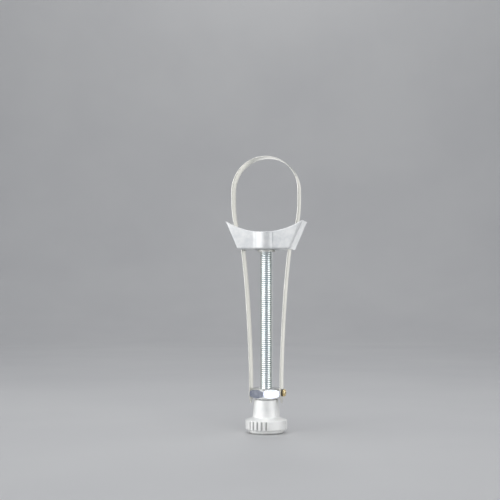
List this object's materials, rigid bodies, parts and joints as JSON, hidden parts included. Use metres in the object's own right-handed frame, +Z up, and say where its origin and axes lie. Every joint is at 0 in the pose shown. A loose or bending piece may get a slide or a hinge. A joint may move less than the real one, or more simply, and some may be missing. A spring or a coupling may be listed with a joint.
{
  "type": "oil filter wrench",
  "caption": "Hand wrench for oil filters: a steel band loop passes through a cast cradle and is drawn tight by a threaded spindle, a travelling hex nut and a fluted knob.",
  "frame": {"origin": "centre of the knob's underside, on the spindle's axis", "axes": "+Z up the spindle towards the band loop, +X across the cradle between the two sides of the band, -Y the front"},
  "size_m": [0.0618, 0.0328, 0.2171],
  "materials": {
    "cast_body": "satin tumbled die casting",
    "cast_knob": "satin tumbled die casting",
    "plated_spindle": "bright zinc plated, rolled thread",
    "plated_nut": "bright zinc plated",
    "band_steel": "satin rolled strip",
    "steel_rivet": "plain satin steel",
    "yellow_screw": "yellow passivated zinc on steel",
    "dark_collar": "black oxide",
    "plated_washers": "zinc plated",
    "spring_steel": "phosphated spring steel"
  },
  "bodies": {
    "cradle": {"cradle": "cast_body", "thrust_washer": "plated_washers"},
    "spindle": {"spindle": "plated_spindle", "knob": "cast_knob", "knob_washer": "plated_washers", "knob_nut": "plated_nut", "retaining_washer": "plated_washers", "retaining_ring": "spring_steel"},
    "nut": {"travelling_nut": "plated_nut", "band_screw": "yellow_screw", "screw_collar": "dark_collar", "band_rivet": "steel_rivet", "band": "band_steel"}
  },
  "joints": [
    {"name": "spindle_turn", "type": "hinge", "parent": "cradle", "child": "spindle", "pos_m": [0, 0, 0.15], "axis": [0, 0, 1], "range_deg": [-17640, 0]},
    {"name": "nut_travel", "type": "slide", "parent": "cradle", "child": "nut", "axis": [0, 0, 1], "range_m": [0, 0.0736], "deforming": ["band"]}
  ],
  "couplings": [
    {"joint": "nut_travel", "follows": "spindle_turn", "m_per_rad": -0.00023873}
  ]
}
